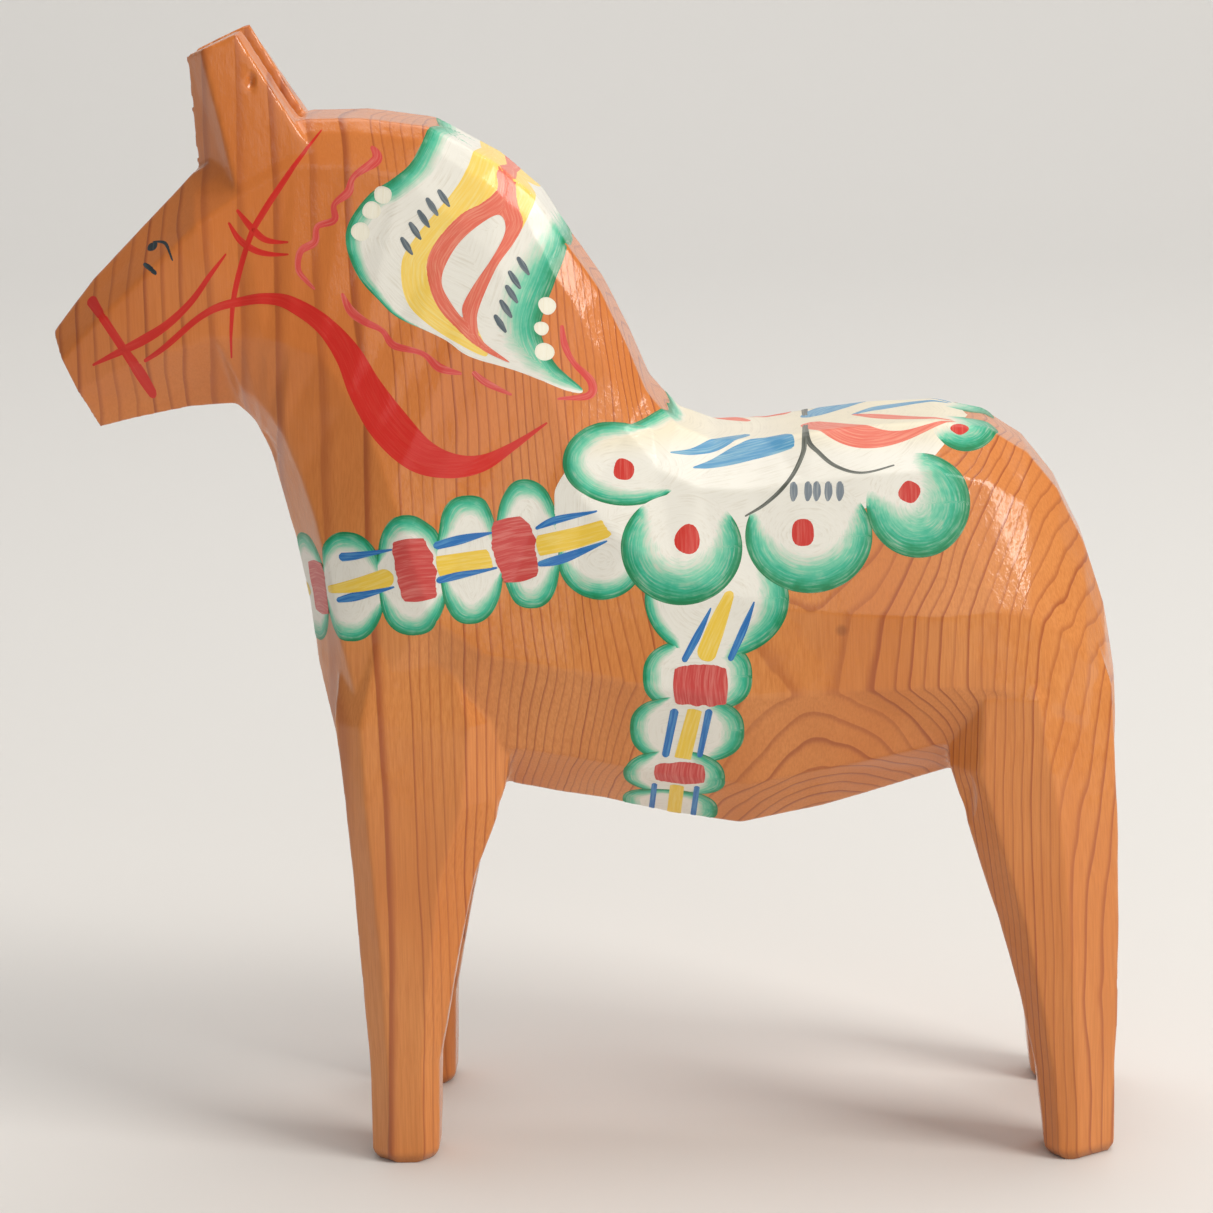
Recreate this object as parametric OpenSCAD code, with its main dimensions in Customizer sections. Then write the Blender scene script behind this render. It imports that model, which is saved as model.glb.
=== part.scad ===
// Carved and painted wooden folk horse, standing on its four feet.
// +Z is up, the horse faces -X, and the origin is on the ground under the middle of the body.
// Outlines are written for a horse 200 mm tall and 57 mm wide, and are scaled to the asked size.
// The wood is one carved block. Every painted motif is its own thin film of dried paint:
// the grounds lie on the wood, and the strokes, dots and blocks lie on the grounds.

/* [Horse] */
// Height from the ground to the ear tips, in mm
horse_h = 200; // [120:5:320]
// Width across the barrel and the legs, in mm, of a horse 200 mm tall
body_w = 57; // [50:1:62]

/* [Paint] */
// Thickness of one coat of paint, in mm, on a horse 200 mm tall
coat = 0.2; // [0.1:0.05:0.4]

/* [Hidden] */
k = horse_h / 200;
kw = body_w / 57;
far = 60;           // reach of the cutting prisms past the widest point
first_coat = 0;
second_coat = coat;

// Trunk, neck and head are one chain of flat stations. Each row is
// [front or belly point, crest or back point, half width of the belly flat,
//  [[share of the way up, half width] x 4], half width of the crest flat].
trunk_stations = [
    // head, nose first
    [[-87, 130], [-94.5, 147], 4.5, [[0.12, 5.5], [0.42, 8.5], [0.75, 8.5], [0.90, 6]], 4],
    [[-79, 132], [-87, 156.5], 5, [[0.12, 6.5], [0.38, 11], [0.76, 11], [0.90, 7]], 4.5],
    [[-70.5, 133.5], [-77, 166.5], 5, [[0.10, 7], [0.34, 13], [0.78, 13], [0.91, 8]], 5],
    [[-62.5, 134], [-68.5, 175], 5, [[0.10, 7.5], [0.32, 14], [0.80, 14], [0.92, 9]], 6],
    // poll and neck
    [[-60.5, 132.5], [-59, 181], 5.5, [[0.10, 10.5], [0.30, 14], [0.82, 13.5], [0.95, 10.5]], 8],
    [[-59, 131], [-48.5, 184.5], 6, [[0.10, 12], [0.30, 15], [0.86, 13], [0.96, 10.5]], 8.5],
    [[-57.5, 128], [-38.5, 184.5], 6.5, [[0.10, 13], [0.32, 16], [0.86, 13], [0.96, 10.5]], 8.5],
    [[-56, 124.5], [-27, 183], 7, [[0.10, 15], [0.34, 17], [0.86, 13], [0.96, 10.5]], 8.5],
    [[-54, 117], [-15.5, 176.5], 7.5, [[0.10, 16.5], [0.34, 19], [0.84, 13.5], [0.95, 11]], 8.5],
    [[-52, 109.5], [-8, 170], 8, [[0.10, 18.5], [0.34, 21], [0.84, 14.5], [0.95, 11]], 8.5],
    [[-50, 100.5], [-3, 162], 10, [[0.10, 21], [0.34, 23.5], [0.82, 16], [0.94, 12]], 8.5],
    [[-48.5, 89], [2.5, 154], 13, [[0.10, 23.5], [0.35, 26], [0.80, 17.5], [0.94, 12.5]], 8.5],
    [[-45.5, 75.5], [7, 144.5], 15, [[0.10, 25], [0.35, 27], [0.80, 19.5], [0.94, 13.5]], 9],
    // barrel
    [[-35, 66.5], [10.5, 136], 11, [[0.14, 23], [0.38, 27.5], [0.76, 22.5], [0.92, 15.5]], 9.5],
    [[-15, 66], [15.5, 130], 12, [[0.14, 22.5], [0.38, 28], [0.72, 25], [0.90, 18]], 10],
    [[2, 63], [22, 127.5], 12, [[0.14, 22.5], [0.38, 28.5], [0.68, 26], [0.89, 19.5]], 11],
    [[13.5, 60.5], [31, 127.5], 12.5, [[0.14, 22.5], [0.38, 28.5], [0.64, 26.5], [0.89, 20]], 11.5],
    [[26, 58.5], [40, 129], 12.5, [[0.14, 22.5], [0.38, 28.5], [0.60, 27], [0.89, 20]], 12],
    [[40.5, 61.5], [50, 130], 12.5, [[0.14, 22.5], [0.36, 28.5], [0.56, 28], [0.89, 20]], 12],
    [[63, 68], [61, 130.5], 12, [[0.12, 21.5], [0.30, 28.5], [0.50, 28], [0.88, 19.5]], 12],
    // haunch and rump
    [[71, 66], [70, 129], 11, [[0.12, 21], [0.32, 28], [0.54, 27], [0.87, 18]], 10.5],
    [[76.5, 65.5], [77, 124.5], 10.5, [[0.12, 20.5], [0.32, 27], [0.56, 25.5], [0.86, 16.5]], 9.5],
    [[81.5, 65], [82.5, 117.5], 10, [[0.12, 19.5], [0.32, 25.5], [0.58, 23], [0.86, 15]], 8.5],
    [[86.5, 65], [87, 108], 9, [[0.12, 17], [0.32, 22], [0.58, 20.5], [0.86, 13.5]], 8],
    [[90, 66.5], [90.5, 97], 9, [[0.14, 14], [0.34, 17.5], [0.60, 16.5], [0.86, 12]], 8],
    [[92.5, 70], [92.5, 85], 8, [[0.20, 10.5], [0.40, 12], [0.60, 12], [0.80, 10.5]], 8],
];
// Stations that a film spans: [first, last] in the list above.
head_span = [0, 6];
neck_span = [3, 13];
chest_span = [7, 15];
back_span = [11, 23];
barrel_span = [14, 19];
breast_half = 11;   // half width of the front of the breast

// Legs: [height, front x, back x, inner y, outer y, front chamfer [x, y], back chamfer [x, y]],
// for the horse's right side.
front_leg_stations = [
    [-2, -39.5, -29.5, 16, 27, [3.5, 3], [2.5, 3]],
    [0, -39.5, -29.5, 16, 27, [3.5, 3], [2.5, 3]],
    [1.5, -40.5, -28.5, 15.5, 27.5, [3.5, 3], [2.5, 3]],
    [18, -40.5, -28, 15, 27.5, [3.5, 3], [3, 3.5]],
    [36, -41.5, -24.5, 13.5, 28, [4, 3.5], [4.5, 4.5]],
    [52, -42.5, -21, 11, 28, [4, 4], [6, 5.5]],
    [66, -43.5, -15.5, 7.5, 28, [4, 4], [7, 6]],
    [80, -45, -13.5, 5, 27, [5, 4.5], [7.5, 6]],
    [94, -43.5, -17, 3, 25.5, [6.5, 5.5], [7.5, 6]],
    [108, -38, -20, 3, 22, [6.5, 5.5], [7.5, 6]],
];
rear_leg_stations = [
    [-2, 80.5, 91, 16, 27, [2.5, 3.5], [6, 4.5]],
    [0, 80.5, 91, 16, 27, [2.5, 3.5], [6, 4.5]],
    [1.5, 79.5, 92, 15.5, 27.5, [2.5, 3.5], [6.5, 5]],
    [16, 78, 92, 15, 27.5, [3, 4], [7, 5]],
    [30, 75, 92.5, 14, 28, [3.5, 5], [8, 5.5]],
    [43, 71.5, 92.5, 12.5, 28, [4.5, 5.5], [9, 6]],
    [57, 67, 92.5, 10, 28, [5, 6], [10, 7.5]],
    [71, 63, 92, 7, 28, [5, 6], [11.5, 9]],
    [84, 62.5, 91.5, 4.5, 27.5, [6, 7], [13.5, 10.5]],
    [98, 64.5, 87, 3, 24, [7, 6], [14, 10]],
];

// Right ear: four corners low down in the head and four at the tip, [x, y, z].
ear_rings = [
    [[-67.5, 1.5, 166], [-58.5, 13.5, 166], [-39.5, 13, 168], [-39.5, 1.5, 168]],
    [[-69, 4.5, 195.5], [-65.5, 10.5, 197], [-59.5, 10, 199.5], [-59, 6, 200]],
];

// ---- Wood ----

// A closed solid through rings of the same number of points.
module loft(rings) {
    n = len(rings[0]);
    last = (len(rings) - 1) * n;
    points = [for (ring = rings) each ring];
    sides = [for (r = [0 : len(rings) - 2], i = [0 : n - 1])
        let (a = r * n + i, b = r * n + (i + 1) % n)
        each [[a, b, a + n], [b, b + n, a + n]]];
    caps = [for (i = [1 : n - 2]) each [[0, i + 1, i], [last, last + i, last + i + 1]]];
    polyhedron(points * k, concat(sides, caps));
}

// The twelve corners of a trunk station, grown outwards by g.
function trunk_ring(s, g) =
    let (
        a = s[0],
        b = s[1],
        up = (b - a) / norm(b - a),
        half = concat(
            [[a - up * g, s[2] + g / 2]],
            [for (p = s[3]) [a + (b - a) * p[0], p[1] + g]],
            [[b + up * g, s[4] + g / 2]])
    )
    concat(
        [for (p = half) [p[0][0], -p[1] * kw, p[0][1]]],
        [for (i = [len(half) - 1 : -1 : 0]) [half[i][0][0], half[i][1] * kw, half[i][0][1]]]);

// The eight corners of a leg station. The inner corners are chamfered half as much.
function leg_ring(s) =
    let (z = s[0], x0 = s[1], x1 = s[2], y0 = s[3] * kw, y1 = s[4] * kw, f = s[5], r = s[6])
    [
        [x0, y0 + f[1] / 2, z], [x0, y1 - f[1], z], [x0 + f[0], y1, z], [x1 - r[0], y1, z],
        [x1, y1 - r[1], z], [x1, y0 + r[1] / 2, z], [x1 - r[0] / 2, y0, z], [x0 + f[0] / 2, y0, z],
    ];

module trunk(g = 0, span = [0, len(trunk_stations) - 1]) {
    loft([for (i = [span[0] : span[1]]) trunk_ring(trunk_stations[i], g)]);
}

module leg(stations) {
    loft([for (s = stations) leg_ring(s)]);
}

// Both sides of the horse.
module pair() {
    children();
    mirror([0, 1, 0]) children();
}

module wood_body() {
    color("peru")
    difference() {
        union() {
            trunk();
            pair() {
                leg(front_leg_stations);
                leg(rear_leg_stations);
                loft(ear_rings);
            }
        }
        translate([-150, -50, -20] * k) cube([300, 100, 20] * k);
    }
}

// ---- Outlines of the motifs, seen from the side as [x, z] ----

// A smooth closed line through the given corners.
function smooth(p, steps = 3) =
    let (n = len(p))
    [for (i = [0 : n - 1], j = [0 : steps - 1])
        let (t = j / steps, a = p[(i + n - 1) % n], b = p[i], c = p[(i + 1) % n], d = p[(i + 2) % n])
        (2 * b + (c - a) * t + (2 * a - 5 * b + 4 * c - d) * t * t
            + (3 * b - a - 3 * c + d) * t * t * t) / 2];

// A smooth open line through the given points.
function along(p, steps = 3) =
    let (n = len(p))
    concat(
        [for (i = [0 : n - 2], j = [0 : steps - 1])
            let (t = j / steps, a = p[max(i - 1, 0)], b = p[i], c = p[i + 1], d = p[min(i + 2, n - 1)])
            (2 * b + (c - a) * t + (2 * a - 5 * b + 4 * c - d) * t * t
                + (3 * b - a - 3 * c + d) * t * t * t) / 2],
        [p[n - 1]]);

// A brush stroke: rows of [x, z, width].
module stroke(rows) {
    line = along(rows);
    n = len(line);
    function side(i, s) =
        let (
            d = line[min(i + 1, n - 1)] - line[max(i - 1, 0)],
            across = [-d[1], d[0]] / norm([d[0], d[1]])
        )
        [line[i][0], line[i][1]] + across * (s * line[i][2] / 2);
    polygon(concat(
        [for (i = [0 : n - 1]) side(i, 1)],
        [for (i = [n - 1 : -1 : 0]) side(i, -1)]));
}

// A round dab: [x, z, half width, half height], in any even number of sides.
module dab(d, sides = 16) {
    polygon([for (i = [0 : sides - 1])
        [d[0] + d[2] * cos(i * 360 / sides), d[1] + d[3] * sin(i * 360 / sides)]]);
}

// A block of paint with bulging ends: [x, z, width, height].
module block(b) {
    w = b[2] / 2;
    h = b[3] / 2;
    polygon(smooth([
        [b[0] - w, b[1]], [b[0] - w * 0.9, b[1] + h * 0.85], [b[0], b[1] + h],
        [b[0] + w * 0.9, b[1] + h * 0.85], [b[0] + w, b[1]],
        [b[0] + w * 0.9, b[1] - h * 0.85], [b[0], b[1] - h], [b[0] - w * 0.9, b[1] - h * 0.85],
    ], 2));
}

// A film of paint over the children's outline: side is -1 left, 1 right, 0 both.
module film(under, span, side) {
    y0 = side > 0 ? 0 : -far;
    y1 = side < 0 ? 0 : far;
    difference() {
        intersection() {
            trunk(under + coat, span);
            translate([0, y1 * k, 0]) rotate([90, 0, 0]) linear_extrude((y1 - y0) * k) scale(k) children();
        }
        trunk(under, span);
    }
}

white = "ivory";
red = "firebrick";
yellow = "gold";
blue = "steelblue";
grey = "dimgray";

// ---- Mane ----

module mane_ground(side) {
    color(white) film(first_coat, neck_span, side)
        polygon(smooth([
            [-27, 186], [-28, 179], [-34, 172.5], [-40, 166.5], [-40, 159], [-35, 152], [-26, 146.5],
            [-11.5, 141], [-1, 137.5], [-7.5, 145], [-9, 150.5], [-5, 158.5], [-3.5, 164],
            [-8, 174], [-15, 181], [-22, 185.5],
        ]));
}

leaf = [
    [-13, 176], [-15.5, 172], [-20, 168], [-25.5, 164], [-27, 159], [-25, 152], [-18.5, 145.5],
    [-18.5, 151], [-17.5, 156], [-14, 161], [-10.5, 166], [-10.5, 171],
];

module mane_yellow(side) {
    color(yellow) film(second_coat, neck_span, side)
        difference() {
            polygon(smooth([
                [-15, 177.5], [-20, 174], [-25, 170], [-29.5, 165], [-31.5, 159], [-29.5, 152],
                [-24, 147], [-18, 144.5], [-15, 150], [-13, 160], [-11, 166], [-11, 172],
            ]));
            polygon(smooth([for (p = leaf) p + (p - [-19, 160]) * 0.02]));
            translate([-18.5, 140]) square([20, 22]);
        }
}

module mane_red_leaf(side) {
    color(red) film(second_coat, neck_span, side)
        difference() {
            polygon(smooth(leaf));
            polygon(smooth([
                [-14, 169.5], [-18.5, 166.5], [-23, 163], [-24.5, 159], [-22.5, 153.5],
                [-20.5, 151.5], [-20.3, 156], [-17, 161], [-13.5, 165],
            ]));
        }
}

module mane_ticks(side) {
    upper = [[-33, 163], [-31.5, 165.5], [-30, 167.5], [-28, 169.5], [-26, 171.5]];
    lower = [[-14.5, 149.5], [-13.5, 152.5], [-12.5, 155], [-11, 157], [-9, 159.5]];
    color(grey) film(second_coat, neck_span, side)
        for (p = concat(upper, lower))
            stroke([[p[0] - 0.5, p[1] + 1.8, 0.8], [p[0], p[1], 1], [p[0] + 0.5, p[1] - 1.8, 0.8]]);
}

module mane_dots(side) {
    color(white) {
        film(second_coat, neck_span, side)
            for (p = [[-33, 170], [-35.5, 167.5], [-37, 164.5]]) dab([p[0], p[1], 1.6, 1.6]);
        film(first_coat, neck_span, side)
            for (p = [[-5.6, 152.5], [-5.8, 148.5], [-4, 144.5]]) dab([p[0], p[1], 1.5, 1.5]);
    }
}

module mane_squiggles(side) {
    color(red) film(first_coat, neck_span, side) {
        stroke([[-36, 179.5, 0.8], [-37, 176, 3], [-40.5, 172.5, 1], [-43, 168.5, 2],
            [-43.5, 165.5, 1], [-49, 162, 2], [-49.5, 158.5, 1], [-46, 155, 0.6]]);
        stroke([[-42, 155, 0.6], [-37.5, 150, 1.4], [-32, 145.5, 1], [-27.5, 144, 1.6], [-21.5, 141, 0.6]]);
        stroke([[-19.5, 140.5, 0.6], [-16.5, 138.5, 1.4], [-12.5, 137, 0.6]]);
        stroke([[-2, 155, 0.6], [-1, 148, 1.4], [0.5, 141, 1.2], [2.5, 137, 1.6], [-6.5, 135.5, 0.6]]);
    }
}

// ---- Breast strap ----

module strap_ground() {
    lobes = [[-40.5, 104.5, 5.5, 10], [-30.5, 107, 5.5, 10.5], [-20.5, 109.5, 6, 11], [-10.5, 111.5, 6, 11]];
    color(white) film(first_coat, chest_span, 0) {
        for (lobe = lobes) dab(lobe);
        polygon([[-60, 94.5], [-44, 97], [-20, 103], [-4.7, 106.5], [-4.7, 117], [-20, 115.5],
            [-44, 109.5], [-60, 109]]);
    }
}

// The flat front of the breast, between its two chamfers.
module breast_front() {
    translate([-80, -breast_half, 80] * k) cube([50, 2 * breast_half, 50] * k);
}

module strap_red(side) {
    color(red) {
        film(second_coat, chest_span, side) {
            block([-30.5, 108, 8.5, 10]);
            block([-12.5, 111, 8.5, 10.5]);
        }
        difference() {
            film(second_coat, chest_span, side)
                polygon([[-60, 98], [-47.5, 99], [-47, 102.5], [-47.5, 107], [-60, 107]]);
            breast_front();
        }
    }
}

module strap_yellow(side) {
    color(yellow) {
        film(second_coat, chest_span, side) {
            stroke([[-46, 103, 2], [-35, 106, 3]]);
            stroke([[-25.5, 109, 3.5], [-17.5, 110.5, 3.5]]);
            stroke([[-8, 112, 3.5], [4.5, 115, 2.5]]);
        }
        intersection() {
            film(second_coat, chest_span, side)
                polygon([[-60, 101], [-44, 101], [-44, 103.5], [-60, 103.5]]);
            breast_front();
        }
    }
}

module strap_blue(side) {
    color(blue) film(second_coat, chest_span, side) {
        stroke([[-43.3, 108.5, 1.8], [-35.4, 109.6, 0.8]]);
        stroke([[-44, 100.8, 1.2], [-35.6, 102.6, 1.4]]);
        stroke([[-25.6, 112.4, 1.6], [-17.2, 113.6, 0.7]]);
        stroke([[-25.6, 105.2, 1.4], [-17.2, 107.2, 0.7]]);
        stroke([[-7.6, 115.2, 1.6], [1.8, 118.2, 0.6]]);
        stroke([[-7.4, 108.8, 1.6], [4.5, 111.8, 0.6]]);
    }
}

// ---- Saddle ----

module saddle_ground() {
    lobes = [
        [3.5, 124.5, 7.5, 7], [17, 112, 10.5, 10.5], [37.5, 112.5, 10.8, 9.5], [57, 118, 10, 9.5],
        [66, 129, 5.5, 5], [2.5, 107.5, 5, 5.5], [16, 101, 6.5, 6], [28.5, 101.5, 6.5, 6.5],
    ];
    color(white) film(first_coat, back_span, 0) {
        for (lobe = lobes) dab(lobe);
        polygon([[-4.4, 107], [4, 104], [16, 97], [29, 98], [33, 108], [56, 114], [68, 128],
            [68, 140], [19, 140], [16, 131], [3, 131], [2, 124], [-4.4, 117]]);
    }
}

module saddle_red_dots(side) {
    dots = [[6.3, 124.5, 1.9, 2.2], [17.3, 112.2, 2.2, 2.7], [37.5, 113.3, 2.1, 2.5],
        [56.2, 119.6, 1.9, 2], [65.5, 128.5, 1.4, 1]];
    color(red) film(second_coat, back_span, side)
        for (d = dots) dab(d, 12);
}

// Petals fan out from the middle of the spine: blue in front and red behind on the left side,
// and the other way round on the right side.
front_petals = [
    [[34.5, 127.5, 0.8], [29.5, 126, 2.6], [24, 124.5, 2.4], [17.5, 124, 0.6]],
    [[29, 130, 0.8], [23.5, 128.5, 2], [17.5, 127, 0.6]],
];
rear_petals = [
    [[40.5, 127.5, 0.8], [47, 126.5, 2.6], [54, 127, 2.4], [62.5, 130, 0.6]],
    [[45, 131, 0.8], [52, 130, 2], [59.5, 131.5, 0.6]],
];

module petals(rows, side) {
    film(second_coat, back_span, side)
        for (petal = rows) stroke(petal);
}

module saddle_blue_petals(side) {
    color(blue) petals(side < 0 ? front_petals : rear_petals, side);
}

module saddle_red_petals(side) {
    color(red) petals(side < 0 ? rear_petals : front_petals, side);
}

module saddle_arcs(side) {
    color(grey) film(second_coat, back_span, side) {
        stroke([[37, 126.5, 0.6], [36.5, 124, 0.8], [33, 120.5, 0.8], [27, 117.5, 0.4]]);
        stroke([[38.5, 126.5, 0.6], [41, 124.5, 0.8], [45, 122.5, 0.8], [54, 122.5, 0.4]]);
    }
}

module saddle_ticks(side) {
    color(grey) film(second_coat, back_span, side)
        for (x = [36.7 : 1.95 : 44.6]) stroke([[x, 122, 0.8], [x, 120.3, 1], [x, 118.6, 0.8]]);
}

// ---- Girth ----

module girth_ground(side) {
    lobes = [[18.6, 87.6, 9.4, 5.2], [16.8, 78.5, 9.8, 5.4], [14.2, 69.5, 8.8, 4.8]];
    color(white) film(first_coat, barrel_span, side) {
        for (lobe = lobes) dab(lobe);
        polygon([[11, 90], [26, 90], [21, 74], [18, 63.5], [9, 63.5], [10, 76]]);
    }
}

module girth_red(side) {
    color(red) film(second_coat, barrel_span, side) {
        block([19.4, 87.2, 8.8, 7.6]);
        block([15.4, 70.8, 9, 5.2]);
    }
}

module girth_yellow(side) {
    color(yellow) film(second_coat, barrel_span, side) {
        stroke([[22.4, 103, 2.6], [21, 94.4, 3.4]]);
        stroke([[18.8, 82.6, 3.2], [16.8, 74.4, 3.2]]);
        stroke([[14.3, 67.4, 2.6], [13.6, 64, 2.6]]);
    }
}

module girth_blue(side) {
    color(blue) film(second_coat, barrel_span, side) {
        stroke([[19, 99, 0.6], [17.6, 94.2, 1.4]]);
        stroke([[25.8, 100.8, 0.6], [24.4, 94.4, 1.4]]);
        stroke([[15.2, 82, 1.4], [13.2, 75, 1]]);
        stroke([[21.6, 82, 1.4], [20.2, 74.8, 1]]);
        stroke([[11.2, 67, 1.2], [10.8, 64.4, 1.2]]);
        stroke([[17.2, 67, 1.2], [16.4, 64.4, 1.2]]);
    }
}

// ---- Head ----

module bridle(side) {
    color(red) film(first_coat, head_span, side) {
        stroke([[-88, 153.5, 2.5], [-85, 150.5, 1], [-81, 144.5, 1], [-77, 137, 2]]);
        stroke([[-87, 141, 0.5], [-81, 144.5, 1.5], [-73, 149, 1.5], [-68.5, 153.5, 1.5], [-62.5, 161, 0.5]]);
        stroke([[-76.5, 143.5, 0.5], [-73.5, 145.5, 1], [-67, 150.5, 1], [-61.5, 153, 1]]);
        stroke([[-50, 176.5, 1], [-55, 169.5, 1], [-58, 164, 1], [-61, 153.5, 1], [-62, 143.5, 0.5]]);
        stroke([[-60, 169.5, 0.5], [-57.5, 166, 1], [-55, 164.5, 1], [-52, 164, 0.5]]);
        stroke([[-61.5, 167, 0.5], [-59.5, 164, 1], [-56, 162, 1], [-52, 161.5, 0.5]]);
    }
}

module rein(side) {
    color(red) film(first_coat, neck_span, side)
        stroke([
            [-60.5, 153.5, 1.5], [-54.5, 154, 2], [-50, 153, 2.5], [-44, 149, 3], [-39.5, 143, 4.5],
            [-36, 135.5, 7], [-31, 129, 8], [-24, 126, 4.5], [-17, 126, 3], [-11.5, 128, 1.5],
            [-6.5, 132.5, 0.5],
        ]);
}

module eye(side) {
    color(grey) film(first_coat, head_span, side) {
        dab([-75.9, 162.6, 0.9, 0.9], 10);
        stroke([[-74.4, 164.4, 0.5], [-72.8, 163, 0.9], [-71.4, 160.5, 0.5]]);
        stroke([[-77, 160.2, 0.5], [-74.5, 158.4, 0.9]]);
    }
}

wood_body();
strap_ground();
saddle_ground();
mane_ground(-1);  // mane_ground_left
mane_ground(1);  // mane_ground_right
mane_yellow(-1);  // mane_yellow_left
mane_yellow(1);  // mane_yellow_right
mane_red_leaf(-1);  // mane_red_leaf_left
mane_red_leaf(1);  // mane_red_leaf_right
mane_ticks(-1);  // mane_ticks_left
mane_ticks(1);  // mane_ticks_right
mane_dots(-1);  // mane_dots_left
mane_dots(1);  // mane_dots_right
mane_squiggles(-1);  // mane_squiggles_left
mane_squiggles(1);  // mane_squiggles_right
strap_red(-1);  // strap_red_left
strap_red(1);  // strap_red_right
strap_yellow(-1);  // strap_yellow_left
strap_yellow(1);  // strap_yellow_right
strap_blue(-1);  // strap_blue_left
strap_blue(1);  // strap_blue_right
saddle_red_dots(-1);  // saddle_red_dots_left
saddle_red_dots(1);  // saddle_red_dots_right
saddle_blue_petals(-1);  // saddle_blue_petals_left
saddle_blue_petals(1);  // saddle_blue_petals_right
saddle_red_petals(-1);  // saddle_red_petals_left
saddle_red_petals(1);  // saddle_red_petals_right
saddle_arcs(-1);  // saddle_arcs_left
saddle_arcs(1);  // saddle_arcs_right
saddle_ticks(-1);  // saddle_ticks_left
saddle_ticks(1);  // saddle_ticks_right
girth_ground(-1);  // girth_ground_left
girth_ground(1);  // girth_ground_right
girth_red(-1);  // girth_red_left
girth_red(1);  // girth_red_right
girth_yellow(-1);  // girth_yellow_left
girth_yellow(1);  // girth_yellow_right
girth_blue(-1);  // girth_blue_left
girth_blue(1);  // girth_blue_right
bridle(-1);  // bridle_left
bridle(1);  // bridle_right
rein(-1);  // rein_left
rein(1);  // rein_right
eye(-1);  // eye_left
eye(1);  // eye_right
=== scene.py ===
"""A carved pine folk horse with brush-painted mane, breast strap, saddle and girth."""
import functools
import math

import bmesh
import bpy
import numpy as np
from mathutils import Matrix, Vector, noise
from mathutils.bvhtree import BVHTree
from mathutils.geometry import delaunay_2d_cdt
from mathutils.interpolate import poly_3d_calc
from mathutils.kdtree import KDTree


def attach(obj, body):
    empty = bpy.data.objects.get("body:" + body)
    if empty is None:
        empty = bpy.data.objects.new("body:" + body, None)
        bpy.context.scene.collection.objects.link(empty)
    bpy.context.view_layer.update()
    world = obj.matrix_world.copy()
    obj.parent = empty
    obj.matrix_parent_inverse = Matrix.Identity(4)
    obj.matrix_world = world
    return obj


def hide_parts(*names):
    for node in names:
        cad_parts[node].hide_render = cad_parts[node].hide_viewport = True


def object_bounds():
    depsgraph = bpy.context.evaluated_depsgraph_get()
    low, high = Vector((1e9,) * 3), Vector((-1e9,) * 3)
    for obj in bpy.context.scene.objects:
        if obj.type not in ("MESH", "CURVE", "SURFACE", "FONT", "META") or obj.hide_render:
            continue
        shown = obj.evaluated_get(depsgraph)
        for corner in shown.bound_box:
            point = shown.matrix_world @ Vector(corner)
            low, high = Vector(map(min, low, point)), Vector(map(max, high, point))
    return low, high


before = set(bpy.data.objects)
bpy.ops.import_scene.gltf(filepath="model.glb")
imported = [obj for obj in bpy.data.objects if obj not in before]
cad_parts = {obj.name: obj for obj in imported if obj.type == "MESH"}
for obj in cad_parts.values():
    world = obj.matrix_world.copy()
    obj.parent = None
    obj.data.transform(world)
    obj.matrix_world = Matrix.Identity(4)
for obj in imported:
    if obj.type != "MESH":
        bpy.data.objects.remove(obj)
cad_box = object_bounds()

MM = cad_box[1][2] / 200   # one millimetre, on a horse 200 mm tall; everything on the horse is measured in it


# ---- Camera, floor and light ----

def add_camera():
    """A long lens from 0.76 m away, a little above the ears and turned slightly towards the head."""
    data = bpy.data.cameras.new("camera")
    data.sensor_width = 36
    data.lens = 128.2
    data.clip_start = 0.05
    data.clip_end = 20
    camera = bpy.data.objects.new("camera", data)
    turn = Matrix.Rotation(math.radians(2.38), 3, "Z")
    tilt = Matrix.Rotation(math.radians(90 - 12.64), 3, "X")
    roll = Matrix.Rotation(math.radians(-1.1), 3, "Z")
    camera.rotation_euler = (turn @ tilt @ roll).to_euler()
    camera.location = (0.0337, -0.7561, 0.2651)
    bpy.context.collection.objects.link(camera)
    bpy.context.scene.camera = camera


def add_lamp(name, place, aim, size, power, colour=(1, 1, 1)):
    data = bpy.data.lights.new(name, "AREA")
    data.shape = "RECTANGLE"
    data.size, data.size_y = size
    data.energy = power
    data.color = colour
    lamp = bpy.data.objects.new(name, data)
    lamp.location = place
    lamp.rotation_euler = (Vector(aim) - Vector(place)).to_track_quat("-Z", "Y").to_euler()
    bpy.context.collection.objects.link(lamp)


def add_stage():
    """A pale sweep: a floor that curves up into a wall far behind the horse."""
    depth, bend, height, half_width = 1.1, 0.5, 2.6, 2.5
    profile = [(-3.0, 0.0), (depth, 0.0)]
    for step in range(1, 13):
        angle = math.radians(90 * step / 12)
        profile.append((depth + bend * math.sin(angle), bend * (1 - math.cos(angle))))
    profile.append((depth + bend, height))
    mesh = bpy.data.meshes.new("sweep")
    points = [(x, y, z) for y, z in profile for x in (-half_width, half_width)]
    faces = [(2 * i, 2 * i + 1, 2 * i + 3, 2 * i + 2) for i in range(len(profile) - 1)]
    mesh.from_pydata(points, [], faces)
    mesh.shade_smooth()
    sweep = bpy.data.objects.new("sweep", mesh)
    bpy.context.collection.objects.link(sweep)
    material = bpy.data.materials.new("pale_paper")
    material.use_nodes = True
    shader = material.node_tree.nodes["Principled BSDF"]
    shader.inputs["Base Color"].default_value = (0.80, 0.79, 0.77, 1)
    shader.inputs["Roughness"].default_value = 0.7
    mesh.materials.append(material)


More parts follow.
